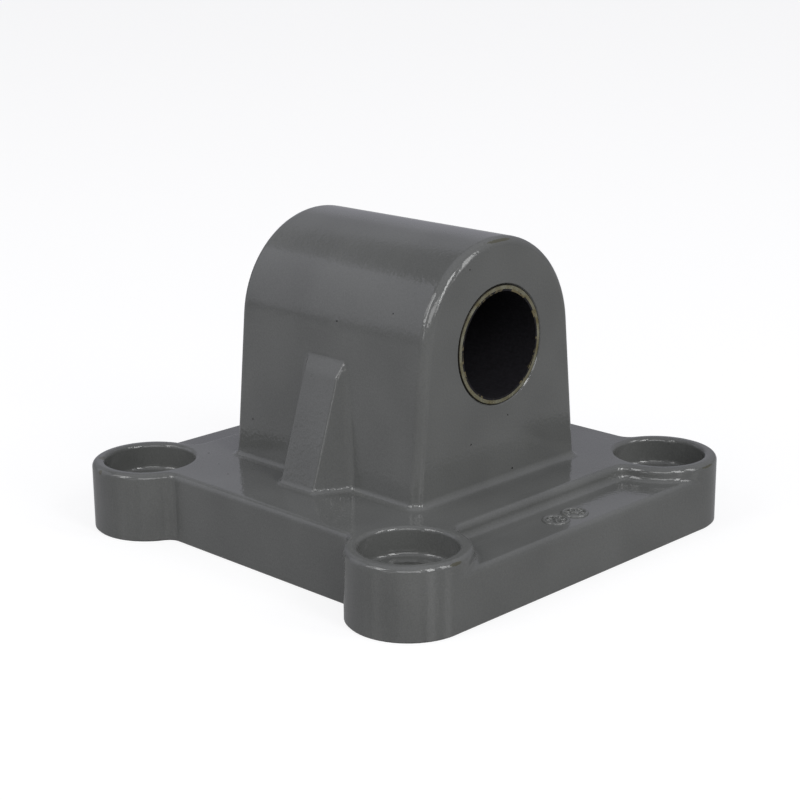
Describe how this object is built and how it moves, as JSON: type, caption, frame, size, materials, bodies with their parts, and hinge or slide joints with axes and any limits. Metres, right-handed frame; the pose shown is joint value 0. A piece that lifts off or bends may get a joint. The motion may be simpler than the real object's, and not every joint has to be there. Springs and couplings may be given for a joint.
{
  "type": "pneumatic cylinder clevis, eye mounting",
  "caption": "Die-cast rear mounting for a pneumatic cylinder: square base with counterbored corner bosses, and a ribbed upright eye with a lined bush for the pivot pin.",
  "frame": {"origin": "centre of the mounting face, which is the bottom centre of the object's box", "axes": "+Z out of the mounting face, away from the cylinder and towards the eye; the pin bore runs along Y; the ribs stand on the X sides and the ledges lie on the Y sides"},
  "size_m": [0.0744, 0.0744, 0.048],
  "materials": {
    "enamelled_casting": "glossy grey baked enamel over die-cast aluminium",
    "bush_metal": "dull bronze-coloured plated strip, worn at its edge",
    "bush_lining": "black low-friction lining, smooth"
  },
  "bodies": {
    "root": {"bracket": "enamelled_casting", "bush_shell": "bush_metal", "bush_liner": "bush_lining"}
  },
  "joints": []
}
